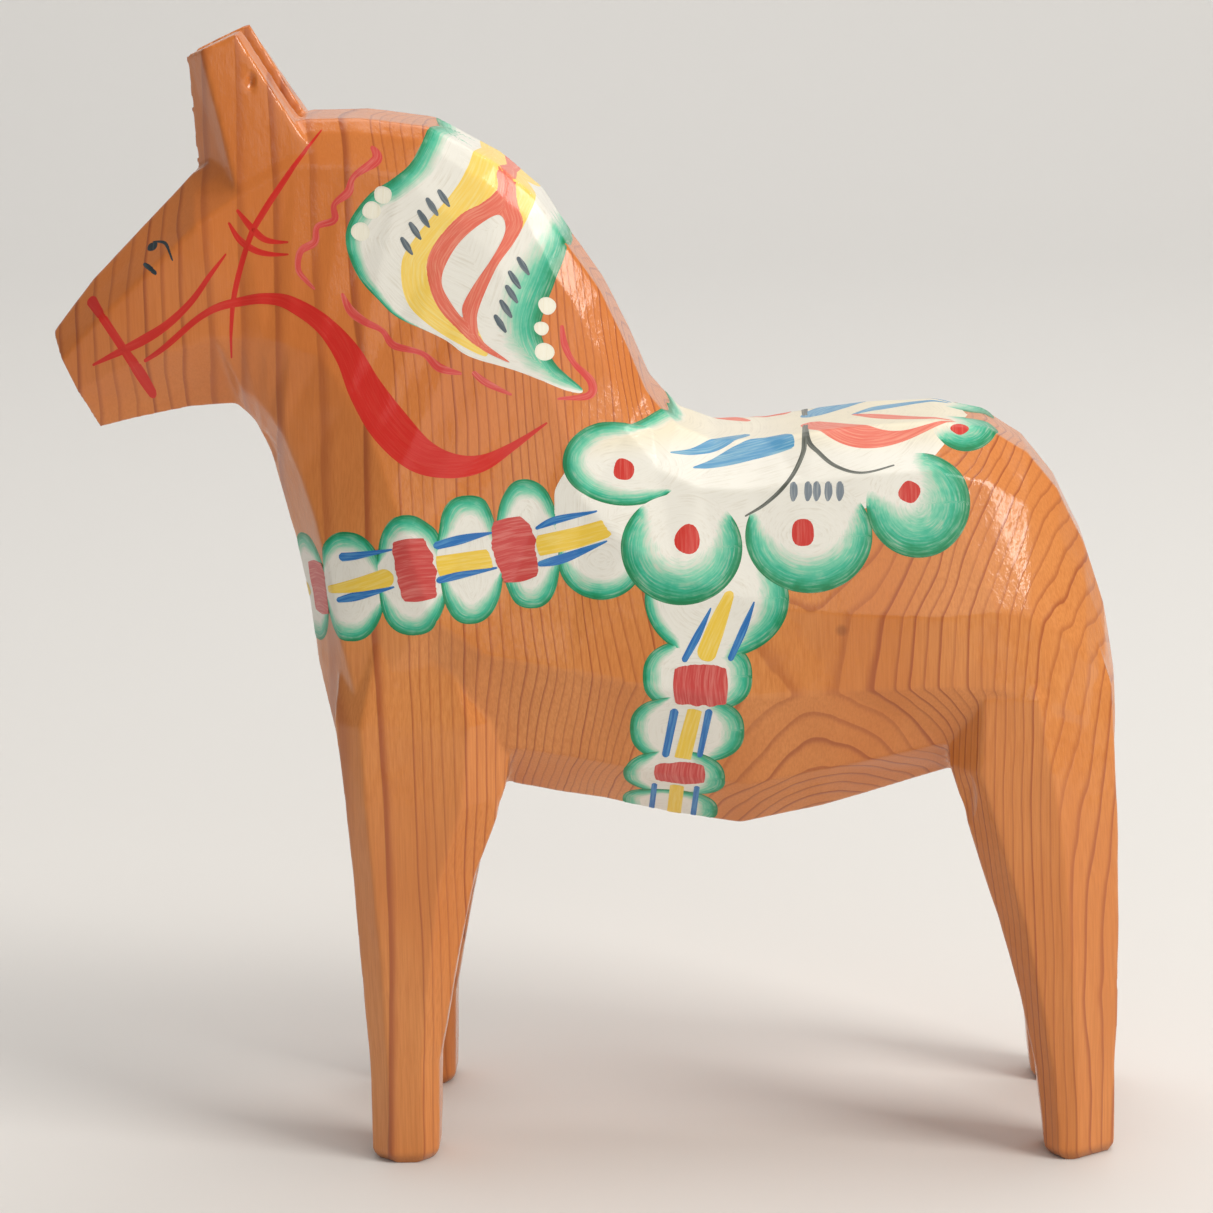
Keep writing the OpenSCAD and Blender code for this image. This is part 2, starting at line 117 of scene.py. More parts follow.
def add_light():
    middle = (0, 0, 0.1)
    add_lamp("key", (0.95, -0.55, 0.95), middle, (0.5, 0.5), 10, (1, 0.96, 0.9))
    add_lamp("top", (0.15, 0.1, 1.3), middle, (0.8, 0.8), 5.5, (1, 0.97, 0.93))
    add_lamp("front", (0.3, -1.2, 0.6), middle, (1.0, 0.7), 2.5, (1, 0.97, 0.94))
    add_lamp("wash", (0, 0.75, 1.7), (0, 1.6, 0.5), (2.4, 0.6), 11)
    world = bpy.data.worlds.new("room")
    world.use_nodes = True
    background = world.node_tree.nodes["Background"]
    background.inputs["Color"].default_value = (1, 0.96, 0.92, 1)
    background.inputs["Strength"].default_value = 0.24
    bpy.context.scene.world = world
    bpy.context.scene.view_settings.view_transform = "Standard"


# ---- Node graphs ----

class Graph:
    """A material's nodes, made one call at a time. A socket given as a value is linked."""

    def __init__(self, name):
        self.material = bpy.data.materials.new(name)
        self.material.use_nodes = True
        self.tree = self.material.node_tree
        self.shader = self.tree.nodes["Principled BSDF"]

    def put(self, socket, value):
        if isinstance(value, bpy.types.NodeSocket):
            self.tree.links.new(value, socket)
        else:
            socket.default_value = value

    def node(self, kind, settings, **inputs):
        made = self.tree.nodes.new(kind)
        for key, value in settings.items():
            setattr(made, key, value)
        for key, value in inputs.items():
            self.put(made.inputs[key.replace("_", " ")], value)
        return made

    def math(self, operation, *values):
        made = self.node("ShaderNodeMath", {"operation": operation})
        for socket, value in zip(made.inputs, values):
            self.put(socket, value)
        return made.outputs[0]

    def step(self, value, low, high, to_low=0.0, to_high=1.0):
        """Goes smoothly from to_low to to_high while value goes from low to high."""
        made = self.node("ShaderNodeMapRange", {"interpolation_type": "SMOOTHSTEP"})
        for socket, number in zip(made.inputs, (value, low, high, to_low, to_high)):
            self.put(socket, number)
        return made.outputs["Result"]

    def mix(self, share, first, second):
        made = self.node("ShaderNodeMix", {"data_type": "RGBA"})
        for socket, value in zip((made.inputs[0], made.inputs[6], made.inputs[7]), (share, first, second)):
            self.put(socket, value)
        return made.outputs[2]

    def noise(self, vector, scale, detail=2.0, roughness=0.5):
        made = self.node("ShaderNodeTexNoise", {}, Vector=vector, Scale=scale, Detail=detail,
                         Roughness=roughness)
        return made.outputs["Fac"]

    def scaled(self, vector, scale):
        made = self.node("ShaderNodeVectorMath", {"operation": "MULTIPLY"})
        self.put(made.inputs[0], vector)
        self.put(made.inputs[1], scale)
        return made.outputs[0]

    def vector(self, x, y, z):
        made = self.node("ShaderNodeCombineXYZ", {})
        for socket, value in zip(made.inputs, (x, y, z)):
            self.put(socket, value)
        return made.outputs[0]

    def parts(self, vector):
        made = self.node("ShaderNodeSeparateXYZ", {})
        self.put(made.inputs[0], vector)
        return made.outputs

    def bump(self, height, relief):
        """A normal for a relief that is that many mm high."""
        return self.node("ShaderNodeBump", {}, Height=height, Distance=relief * MM, Strength=1.0).outputs[0]

    def place(self):
        """Where the shaded point is, in mm."""
        return self.scaled(self.node("ShaderNodeTexCoord", {}).outputs["Object"], (1 / MM, 1 / MM, 1 / MM))


def srgb(red, green, blue):
    """The linear colour of an sRGB colour given as 0 to 255."""
    def linear(c):
        c = c / 255
        return c / 12.92 if c <= 0.04045 else ((c + 0.055) / 1.055) ** 2.4
    return (linear(red), linear(green), linear(blue), 1)


# ---- Wood ----

PITH_X = 40.0      # the heart of the tree runs upright through the body here, in mm
# How far from the pith each run of years starts, and how wide its rings are, in mm.
YEARS = ((0, 2.2), (32, 1.4), (57, 1.8), (76, 6), (108, 3.2))


def ring_count(g, x, y, z):
    """How many year rings lie between the pith and a place, with the tree's slow and quick waviness."""
    slow = g.node("ShaderNodeTexNoise", {}, Vector=g.vector(x, y, g.math("MULTIPLY", z, 0.22)), Scale=0.03)
    bend_x, bend_y, _ = g.parts(slow.outputs["Color"])
    off_x = g.math("MULTIPLY", g.math("SUBTRACT", bend_x, 0.5), 9)
    off_y = g.math("MULTIPLY", g.math("SUBTRACT", bend_y, 0.5), 9)
    from_x = g.math("ADD", g.math("SUBTRACT", x, PITH_X), off_x)
    from_y = g.math("ADD", y, off_y)
    quick = g.noise(g.vector(x, y, g.math("MULTIPLY", z, 0.3)), 0.12, 2)
    square = g.math("ADD", g.math("MULTIPLY", from_x, from_x), g.math("MULTIPLY", from_y, from_y))
    radius = g.math("ADD", g.math("SQRT", square), g.math("MULTIPLY", g.math("SUBTRACT", quick, 0.5), 1.2))
    rings = g.math("MULTIPLY", radius, 1 / YEARS[0][1])
    for (_, before), (start, width) in zip(YEARS, YEARS[1:]):
        past = g.math("MAXIMUM", g.math("SUBTRACT", radius, start), 0)
        rings = g.math("ADD", rings, g.math("MULTIPLY", past, 1 / width - 1 / before))
    return rings


def varnished_pine():
    """Honey-coloured pine under gloss varnish, with its year rings round an upright pith."""
    g = Graph("varnished_pine")
    place = g.place()
    x, y, z = g.parts(place)
    rings = ring_count(g, x, y, z)
    share = g.math("FRACT", rings)
    year = g.node("ShaderNodeTexWhiteNoise", {"noise_dimensions": "1D"}, W=g.math("FLOOR", rings))
    late = g.math("MULTIPLY", g.step(share, 0.55, 0.9), g.step(share, 0.93, 1.0, 1.0, 0.0))
    darkness = g.step(year.outputs["Value"], 0.0, 1.0, 0.45, 1.0)
    late = g.math("MULTIPLY", g.math("MULTIPLY", late, late), darkness)
    fibre = g.noise(g.scaled(place, (2.2, 2.2, 0.06)), 1.4, 4, 0.6)
    cloud = g.noise(g.scaled(place, (1, 1, 0.4)), 0.035, 3, 0.5)
    early = g.mix(g.step(cloud, 0.3, 0.7), srgb(228, 148, 78), srgb(214, 127, 54))
    early = g.mix(g.math("MULTIPLY", g.step(fibre, 0.3, 0.75), 0.6), early, srgb(200, 114, 46))
    early = g.mix(g.step(z, 105, 150, 0.0, 0.5), early, srgb(218, 118, 46))
    colour = g.mix(g.math("MULTIPLY", late, 0.8), early, srgb(160, 72, 26))
    from_knot = g.node("ShaderNodeVectorMath", {"operation": "DISTANCE"})
    g.put(from_knot.inputs[0], place)
    g.put(from_knot.inputs[1], KNOT)
    colour = g.mix(g.step(from_knot.outputs["Value"], 0.4, 1.4, 0.45, 0.0), colour, srgb(124, 62, 28))
    # Painted shade: the wood darkens over the lowest 2.5 mm of the feet, where their rounded bottom edges
    # turn down towards the floor.
    colour = g.mix(g.step(z, 0.3, 2.5, 0.5, 0.0), colour, srgb(132, 78, 38))
    g.put(g.shader.inputs["Base Color"], colour)
    g.shader.inputs["Roughness"].default_value = 0.45
    g.shader.inputs["Specular IOR Level"].default_value = 0.3
    g.shader.inputs["Coat Weight"].default_value = 0.75
    g.shader.inputs["Coat Roughness"].default_value = 0.1
    relief = g.math("ADD", g.math("MULTIPLY", late, 0.6), g.math("MULTIPLY", fibre, 0.5))
    g.put(g.shader.inputs["Normal"], g.bump(relief, 0.06))
    lumps = g.noise(g.scaled(place, (1, 1, 0.45)), 0.9, 3, 0.6)
    both = g.math("ADD", lumps, g.math("MULTIPLY", relief, 0.3))
    g.put(g.shader.inputs["Coat Normal"], g.bump(both, 0.1))
    return g.material


def new_piece(name, mesh, nodes):
    piece = bpy.data.objects.new(name, mesh)
    bpy.context.collection.objects.link(piece)
    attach(piece, "root")
    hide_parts(*nodes)
    return piece


def apply_modifiers(piece):
    graph = bpy.context.evaluated_depsgraph_get()
    mesh = bpy.data.meshes.new_from_object(piece.evaluated_get(graph))
    piece.modifiers.clear()
    piece.data = mesh


KNOT = (44, -28, 97)    # a pin knot on the left flank, in mm
KNIFE_WAVES = ((11, 0.16), (4, 0.05))   # way between the waves that the knife left, and their height, in mm
# Small marks of the knife: middle and half sizes of each in mm, and how deep it is.
NICKS = (
    ((-57, -11, 191.5), (0.8, 3, 1.7), 0.9),    # hole in the left ear
    ((92, -20, 31), (2, 2.5, 3), 0.9),          # chip off the back of the left hind leg
    ((-56, -8, 127), (4, 2, 3), 0.5),           # rough cut under the throat
    ((-56, 8, 127), (4, 2, 3), 0.5),
)
STOP_CUTS = ((-15.5, 63), (66, 66))   # x and z where the belly meets the legs, in mm
STOP_HALF = (1.5, 5)                  # half sizes of those cuts along x and z
STOP_DEPTH = 0.5
VOXEL = 0.45                          # size of the mesh that the wood is carved from, in mm


def wave(points, step, offset):
    """Smooth seeded waves of about one unit, sampled at each point, with step mm between crests."""
    return np.array([noise.noise(Vector(p) / step + Vector((offset, 0, 0))) for p in points])


def work_surface(mesh):
    """Leaves the small unevenness of the knife on the wood, and its nicks."""
    points = np.empty(len(mesh.vertices) * 3)
    normals = np.empty(len(mesh.vertices) * 3)
    mesh.vertices.foreach_get("co", points)
    mesh.vertices.foreach_get("normal", normals)
    points, normals = points.reshape(-1, 3) / MM, normals.reshape(-1, 3)
    push = sum(height * wave(points, step, 50 * i) for i, (step, height) in enumerate(KNIFE_WAVES))
    for middle, half, depth in NICKS:
        apart = ((points - middle) / half) ** 2
        push -= depth * np.clip(1 - apart.sum(1), 0, 1)
    for cut in STOP_CUTS:
        apart = ((points[:, [0, 2]] - cut) / STOP_HALF) ** 2
        push -= STOP_DEPTH * np.clip(1 - apart.sum(1), 0, 1)
    mesh.vertices.foreach_set("co", ((points + normals * push[:, None]) * MM).ravel())


def carve_body():
    """The whole horse from the CAD solid, with its hard edges only just worn, as the knife left them."""
    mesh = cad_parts["wood_body"].data.copy()
    mesh.materials.clear()
    work = bmesh.new()
    work.from_mesh(mesh)
    bmesh.ops.remove_doubles(work, verts=work.verts, dist=0.01 * MM)
    work.to_mesh(mesh)
    work.free()
    body = new_piece("carved_body", mesh, ["wood_body"])
    remesh = body.modifiers.new("remesh", "REMESH")
    remesh.mode = "VOXEL"
    remesh.voxel_size = VOXEL * MM
    smooth = body.modifiers.new("smooth", "SMOOTH")
    smooth.factor = 0.5
    smooth.iterations = 5
    apply_modifiers(body)
    work_surface(body.data)
    decimate = body.modifiers.new("decimate", "DECIMATE")
    decimate.ratio = 0.25
    apply_modifiers(body)
    body.data.shade_smooth()
    body.data.materials.append(varnished_pine())
    return body


# ---- Places on the body, for the paint ----

class Skin:
    """The carved surface. Each map turns (u, v) in mm into a point on it and the direction out of it."""

    def __init__(self, body):
        mesh = body.data
        self.points = [v.co.copy() for v in mesh.vertices]
        self.normals = [v.normal.copy() for v in mesh.vertices]
        self.faces = [tuple(p.vertices) for p in mesh.polygons]
        self.tree = BVHTree.FromPolygons(self.points, self.faces)

    def cast(self, start, direction):
        """The point that a ray meets first, and the smoothed direction out of the surface there."""
        hit, flat, index, _ = self.tree.ray_cast(Vector(start) * MM, Vector(direction).normalized())
        if hit is None:
            return None
        corners = self.faces[index]
        weights = poly_3d_calc([self.points[i] for i in corners], hit)
        out = Vector((0, 0, 0))
        for weight, corner in zip(weights, corners):
            out += weight * self.normals[corner]
        return hit, out.normalized()

    def flank(self, u, v, side):
        """u runs along X, and v runs up a plane that leans in by LEAN, so that it also meets the crest."""
        out, up = math.cos(math.radians(LEAN)), math.sin(math.radians(LEAN))
        start = (u, side * (FAR * out - v * up), FAR * up + v * out)
        return self.cast(start, (0, -side * out, -up))

    def barrel(self, u, v, side):
        """u runs along X, and v up the surface from the height CORE_Z, to spine(u) at the top."""
        turns = []
        for x in (math.floor(u), math.floor(u) + 1):
            run = self.barrel_run(x)
            top = np.interp(90, BARREL_TURNS, run)
            turns.append(np.interp(top * (1 - v / self.spine(u)), run, BARREL_TURNS))
        turn = math.radians(turns[0] + (u - math.floor(u)) * (turns[1] - turns[0]))
        return self.cast((u, 0, CORE_Z), (0, side * math.sin(turn), math.cos(turn)))

    def spine(self, u):
        """The way up the surface from CORE_Z to the spine, on the section at u."""
        below = math.floor(u)
        runs = [np.interp(90, BARREL_TURNS, self.barrel_run(x)) for x in (below, below + 1)]
        return runs[0] + (u - below) * (runs[1] - runs[0])

    def chest(self, u, v, side):
        """v runs along Z, and u from the middle of the breast, at 0, back round the side, below 0."""
        turns = [np.interp(-u, self.chest_run(z), CHEST_TURNS) for z in (math.floor(v), math.floor(v) + 1)]
        turn = math.radians(turns[0] + (v - math.floor(v)) * (turns[1] - turns[0]))
        return self.cast((CORE_X, 0, v), (-math.cos(turn), side * math.sin(turn), 0))

    @functools.cache
    def barrel_run(self, x):
        """The way walked from the spine to each of BARREL_TURNS, on the section at x."""
        hits = [self.tree.ray_cast(
            Vector((x, 0, CORE_Z)) * MM,
            Vector((0, math.sin(math.radians(t)), math.cos(math.radians(t)))))[0] for t in BARREL_TURNS]
        return walked(hits)

    @functools.cache
    def chest_run(self, z):
        """The way walked from the middle of the breast to each of CHEST_TURNS, on the section at z."""
        hits = [self.tree.ray_cast(
            Vector((CORE_X, 0, z)) * MM,
            Vector((-math.cos(math.radians(t)), math.sin(math.radians(t)), 0)))[0] for t in CHEST_TURNS]
        return walked(hits)


def walked(hits):
    """The length so far along a line of points, in mm."""
    steps = [(b - a).length / MM for a, b in zip(hits, hits[1:])]
    return np.concatenate([[0], np.cumsum(steps)])


LEAN = 25                          # of the flank map, in degrees
FAR = 150                          # where its rays start, in mm
CORE_Z = 100                       # height of the line that the barrel map turns about
BARREL_TURNS = np.arange(0, 167, 2)
CORE_X = 12                        # place of the upright line that the chest map turns about
CHEST_TURNS = np.arange(0, 101, 1)

# ---- Paint as flat shapes ----
# A sheet is part of a film of paint, laid out flat in one of the Skin maps: its points (u, v) in mm,
# its faces, how high each point lies in the film from 0 to 1, and three marks on each face corner.
# The marks are the way along the brush stroke, the way across it from its edge, and a third number
# that the material uses: how far through the green rim, or the number of the stroke.

GRID = 0.5           # size of the triangles in a filled sheet, in mm
OUTLINE_STEP = 0.4   # way between the points of its outline
LINE_STEP = 0.35     # way between the points along a stroke
LANE = 0.3           # width of a row of faces in a stroke
RIM_FADE = 1.6       # how many rim widths it takes for the green to fade out
WHITE = 1.6          # mark of a place where no green is left
LEAST_RIM = 0.4      # a rim fades away as it gets narrower than this, in mm


def smooth(rows, closed, step):
    """A smooth curve through rows of numbers that start with (u, v), with a point about every step mm."""
    rows = np.array(rows, float)
    last = len(rows) - 1
    line = []
    for i in range(len(rows) if closed else last):
        near = [(i + k) % len(rows) if closed else min(max(i + k, 0), last) for k in (-1, 0, 1, 2)]
        a, b, c, d = rows[near]
        parts = max(2, int(np.hypot(*(c - b)[:2]) / step))
        for t in np.arange(parts) / parts:
            line.append((2 * b + (c - a) * t + (2 * a - 5 * b + 4 * c - d) * t ** 2
                         + (3 * b - a - 3 * c + d) * t ** 3) / 2)
    return np.array(line if closed else line + [rows[-1]])


def inside(points, loop):
    """Which points lie inside a closed loop."""
    odd = np.zeros(len(points), bool)
    for (u0, v0), (u1, v1) in zip(loop[:, :2], np.roll(loop, -1, 0)[:, :2]):
        if v0 != v1:
            crosses = (points[:, 1] < v0) != (points[:, 1] < v1)
            odd ^= crosses & (points[:, 0] < u0 + (points[:, 1] - v0) * (u1 - u0) / (v1 - v0))
    return odd


def nearest(points, loop):
    """For each point: the way along the loop to its nearest place, the distance to it, and how far through
    the rim the point is: 0 on the outline, 1 where the rim has faded out, and up to WHITE beyond."""
    step = np.roll(loop, -1, 0) - loop
    length = np.hypot(step[:, 0], step[:, 1])
    run = np.concatenate([[0], np.cumsum(length)[:-1]])
    marks = []
    for some in np.array_split(points, len(points) // 2000 + 1):
        away = some[:, None, :] - loop[None, :, :2]
        share = np.clip((away * step[:, :2]).sum(2) / length ** 2, 0, 1)
        gap = np.linalg.norm(away - share[..., None] * step[:, :2], axis=2)
        best = gap.argmin(1)
        rows = np.arange(len(some))
        rim = loop[:, 2] + share * step[:, 2]
        through = gap / np.maximum(RIM_FADE * rim, 0.1) + WHITE * np.clip(1 - rim / LEAST_RIM, 0, 1)
        along = run[best] + share[rows, best] * length[best]
        marks.append(np.stack([along, gap[rows, best], np.minimum(through, WHITE).min(1)], 1))
    return np.concatenate(marks)


def border_of(faces):
    """The directed edges that only one face has."""
    edges = {(f[i], f[(i + 1) % len(f)]) for f in faces for i in range(len(f))}
    return [e for e in edges if (e[1], e[0]) not in edges]


def fill(outlines, holes=(), seam=None, beyond=None):
    """A sheet over smooth closed outlines of (u, v, rim width), each one over those before it.
    It stops at the seam, a line of points: beyond says which points are past it."""
    loops = [smooth(outline, True, OUTLINE_STEP) for outline in outlines]
    hole_loops = [smooth(hole, True, OUTLINE_STEP) for hole in holes]
    points, edges = [], []
    for loop in loops + hole_loops:
        first = len(points)
        points += [Vector(p[:2]) for p in loop]
        edges += [(first + i, first + (i + 1) % len(loop)) for i in range(len(loop))]
    if seam is not None:
        edges += [(len(points) + i, len(points) + i + 1) for i in range(len(seam) - 1)]
        points += [Vector(p) for p in seam]
    lines = KDTree(len(points))
    for i, point in enumerate(points):
        lines.insert((*point, 0), i)
    lines.balance()
    low = np.min([loop.min(0) for loop in loops], 0)
    high = np.max([loop.max(0) for loop in loops], 0)
    row_step = GRID * math.sqrt(3) / 2
    for row in range(int((high[1] - low[1]) / row_step) + 1):
        for column in range(int((high[0] - low[0]) / GRID) + 1):
            point = Vector((low[0] + (column + row % 2 / 2) * GRID, low[1] + row * row_step))
            if lines.find((*point, 0))[2] > 0.6 * GRID:
                points.append(point)
    flat, _, faces, *_ = delaunay_2d_cdt(points, edges, [], 0, 1e-4)
    flat = np.array([tuple(p) for p in flat])
    faces = np.array(faces)
    middles = flat[faces].mean(1)
    owner = np.full(len(faces), -1)
    for i, loop in enumerate(loops):
        owner[inside(middles, loop)] = i
    for loop in hole_loops:
        owner[inside(middles, loop)] = -1
    if seam is not None:
        owner[beyond(middles)] = -1
    marks = np.zeros((len(faces), 3, 3))
    for i, loop in enumerate(loops):
        own = owner == i
        if own.any():
            ids, back = np.unique(faces[own], return_inverse=True)
            marks[own] = nearest(flat[ids], loop)[back].reshape(-1, 3, 3)
    faces, marks = faces[owner >= 0], marks[owner >= 0]
    ids, back = np.unique(faces, return_inverse=True)
    faces = back.reshape(-1, 3)
    lift = np.ones(len(ids))
    rim = {i for edge in border_of([tuple(f) for f in faces]) for i in edge}
    on_seam = np.zeros(len(ids), bool) if seam is None else beyond(flat[ids] + np.array([[0.01, 0.01]]))
    for i in rim:
        if not on_seam[i]:
            lift[i] = 0
    return flat[ids], [tuple(f) for f in faces], lift, list(marks)


def stroke(rows, fray=(0, 0), number=0, blunt=0.5):
    """A sheet along rows of (u, v, width). Its ends are rounded by blunt, and fray says how far, in mm,
    the brush hairs stop short of each other at the start and the end."""
    line = smooth(rows, False, LINE_STEP)
    run = np.concatenate([[0], np.cumsum(np.hypot(*np.diff(line[:, :2], axis=0).T))])
    ahead = np.gradient(line[:, :2], axis=0)
    ahead /= np.linalg.norm(ahead, axis=1)[:, None]
    lanes = max(5, int(line[:, 2].max() / LANE))
    rng = np.random.default_rng(1000 + number)
    short = [np.convolve(rng.random(lanes + 4), np.ones(5) / 5, "valid") for _ in fray]
    points, marks = [], []
    for lane in range(lanes):
        c = 2 * lane / (lanes - 1) - 1
        round_off = (1 - math.sqrt(1 - 0.96 * c * c)) * blunt
        start = fray[0] * short[0][lane] + round_off * line[0, 2]
        stop = run[-1] - fray[1] * short[1][lane] - round_off * line[-1, 2]
        at = np.linspace(start, stop, len(line))
        width = np.interp(at, run, line[:, 2])
        u = np.interp(at, run, line[:, 0]) - np.interp(at, run, ahead[:, 1]) * c * width / 2
        v = np.interp(at, run, line[:, 1]) + np.interp(at, run, ahead[:, 0]) * c * width / 2
        points.append(np.stack([u, v], 1))
        marks.append(np.stack([at, (c + 1) / 2 * width, np.full(len(at), number)], 1))
    size = len(line)
    points, marks = np.concatenate(points), np.concatenate(marks)
    faces = [(lane * size + i, lane * size + i + 1, (lane + 1) * size + i + 1, (lane + 1) * size + i)
             for lane in range(lanes - 1) for i in range(size - 1)]
    lift = np.ones(len(points))
    for edge in border_of(faces):
        lift[list(edge)] = 0
    return points, faces, lift, [marks[list(f)] for f in faces]


def dab(u, v, wide, high, number=0, rough=0.06):
    """A rounded sheet of that half width and half height, domed, with a slightly uneven edge."""
    rings, sides = 5, 22
    rng = np.random.default_rng(2000 + number)
    waves = [(n, rng.uniform(-1, 1), rng.uniform(0, 2 * math.pi)) for n in (2, 3, 4)]
    points, lift = [(u, v)], [1.0]
    for ring in range(1, rings + 1):
        for side in range(sides):
            angle = 2 * math.pi * side / sides
            bulge = 1 + rough * sum(size * math.sin(n * angle + start) for n, size, start in waves)
            reach = ring / rings * bulge
            points.append((u + wide * reach * math.cos(angle), v + high * reach * math.sin(angle)))
            lift.append(math.sqrt(max(0, 1 - (ring / rings) ** 2.5)))
    faces = [(0, 1 + i, 1 + (i + 1) % sides) for i in range(sides)]
    for ring in range(rings - 1):
        a, b = 1 + ring * sides, 1 + (ring + 1) * sides
        faces += [(a + i, b + i, b + (i + 1) % sides, a + (i + 1) % sides) for i in range(sides)]
    points = np.array(points)
    marks = np.stack([points[:, 1] + 0.4 * points[:, 0], points[:, 0], np.full(len(points), number)], 1)
    return points, faces, np.array(lift), [marks[list(f)] for f in faces]


# ---- Paint on the body ----

COAT = 0.10      # thickness of a film, in mm
BURIED = 0.04    # how far a film's underside lies below what it is painted on, in mm


def film(node, paint, place, sides, sheets, under=0.0, coat=COAT):
    """One piece: the sheets laid on the body with the map place, on each of the sides, as a thin closed
    solid. Where the two sides meet on the middle plane they share their points."""
    slot, material = PAINTS[paint]
    points, normals, faces, marks = [], [], [], []
    shared = {}
    for side in sides:
        for number, (flat, sheet_faces, lift, sheet_marks) in enumerate(sheets):
            upper_ids, lower_ids, on_middle = [], [], []
            for i, (u, v) in enumerate(flat):
                hit, out = place(u, v, side)
                on_middle.append(abs(hit.y) < 0.005 * MM)
                if on_middle[i] and (number, i) in shared:
                    upper, lower = shared[number, i]
                else:
                    if on_middle[i]:
                        hit.y = out.y = 0
                        out.normalize()
                    upper, lower = shared[number, i] = len(points), len(points) + 1
                    points += [hit + out * (under + coat * lift[i]) * MM, hit + out * (under - BURIED) * MM]
                    normals += [out, -out]
                upper_ids.append(upper)
                lower_ids.append(lower)
            a, b, c = (points[upper_ids[i]] for i in sheet_faces[0][:3])
            flip = (b - a).cross(c - a).dot(normals[upper_ids[sheet_faces[0][0]]]) < 0
            turn = -1 if flip else 1
            for face, mark in zip(sheet_faces, sheet_marks):
                faces += [[upper_ids[i] for i in face][::turn], [lower_ids[i] for i in face][::-turn]]
                marks += [mark[::turn], mark[::-turn]]
            for a, b in border_of(sheet_faces):
                if not (on_middle[a] and on_middle[b]):
                    faces.append([upper_ids[a], lower_ids[a], lower_ids[b], upper_ids[b]][::turn])
                    marks.append(np.tile(sheet_marks[0][0], (4, 1)))
    mesh = bpy.data.meshes.new(node + "_film")
    mesh.from_pydata(points, [], faces)
    layer = mesh.attributes.new("marks", "FLOAT_VECTOR", "CORNER")
    layer.data.foreach_set("vector", np.concatenate(marks).astype(np.float32).ravel())
    mesh.shade_smooth()
    mesh.normals_split_custom_set_from_vertices(normals)
    mesh.materials.append(material)
    return new_piece(node + "_film", mesh, [node])


def brush_marks(g):
    """The third mark, and streaks from 0 to 1 that run along the stroke."""
    marks = g.node("ShaderNodeAttribute", {"attribute_name": "marks"})
    along, across, third = g.parts(marks.outputs["Vector"])
    hairs = g.noise(g.vector(g.math("MULTIPLY", along, 0.16), g.math("MULTIPLY", across, 2.6),
                             g.math("MULTIPLY", third, 3.7)), 1.0, 3, 0.6)
    return third, hairs


def finish_paint(g, colour, hairs):
    g.put(g.shader.inputs["Base Color"], colour)
    g.shader.inputs["Roughness"].default_value = 0.45
    g.shader.inputs["Specular IOR Level"].default_value = 0.25
    g.shader.inputs["Coat Weight"].default_value = 0.5
    g.shader.inputs["Coat Roughness"].default_value = 0.12
    ridges = g.bump(hairs, 0.03)
    g.put(g.shader.inputs["Normal"], ridges)
    g.put(g.shader.inputs["Coat Normal"], ridges)
    return g.material


def ground_paint(name, warm_from=None):
    """Off-white that turns green towards the edge, as one stroke of a brush loaded with both colours.
    Above the height warm_from, in mm, the white is mixed with a little yellow."""
    g = Graph(name)
    through, hairs = brush_marks(g)
    place = g.place()
    patches = g.noise(place, 0.3, 3, 0.6)
    share = g.math("ADD", through, g.math("MULTIPLY", g.math("SUBTRACT", hairs, 0.5), 0.45))
    share = g.math("ADD", share, g.math("MULTIPLY", g.math("SUBTRACT", patches, 0.5), 0.4))
    ramp = g.node("ShaderNodeValToRGB", {}, Fac=share)
    stops = ramp.color_ramp.elements
    stops[0].color = srgb(20, 128, 78)
    stops[1].color = srgb(240, 238, 228)
    for at, colour in ((0.12, srgb(26, 150, 104)), (0.34, srgb(56, 182, 146)),
                       (0.58, srgb(122, 208, 174)), (0.8, srgb(196, 222, 202))):
        stops.new(at).color = colour
    colour = ramp.outputs["Color"]
    if warm_from is not None:
        z = g.parts(place)[2]
        warm = g.math("MULTIPLY", g.step(z, warm_from, warm_from + 5), g.step(share, 0.7, 1.2, 0.0, 0.35))
        colour = g.mix(warm, colour, srgb(238, 216, 150))
    thin = g.math("MULTIPLY", g.step(hairs, 0.45, 0.75), g.step(patches, 0.3, 0.65))
    colour = g.mix(g.math("MULTIPLY", thin, 0.5), colour, srgb(208, 200, 180))
    return finish_paint(g, colour, hairs)


def brush_paint(name, base, streak):
    """One colour of paint, with streaks of another shade along the stroke."""
    g = Graph(name)
    _, hairs = brush_marks(g)
    return finish_paint(g, g.mix(g.step(hairs, 0.4, 0.75, 0.0, 0.8), base, streak), hairs)


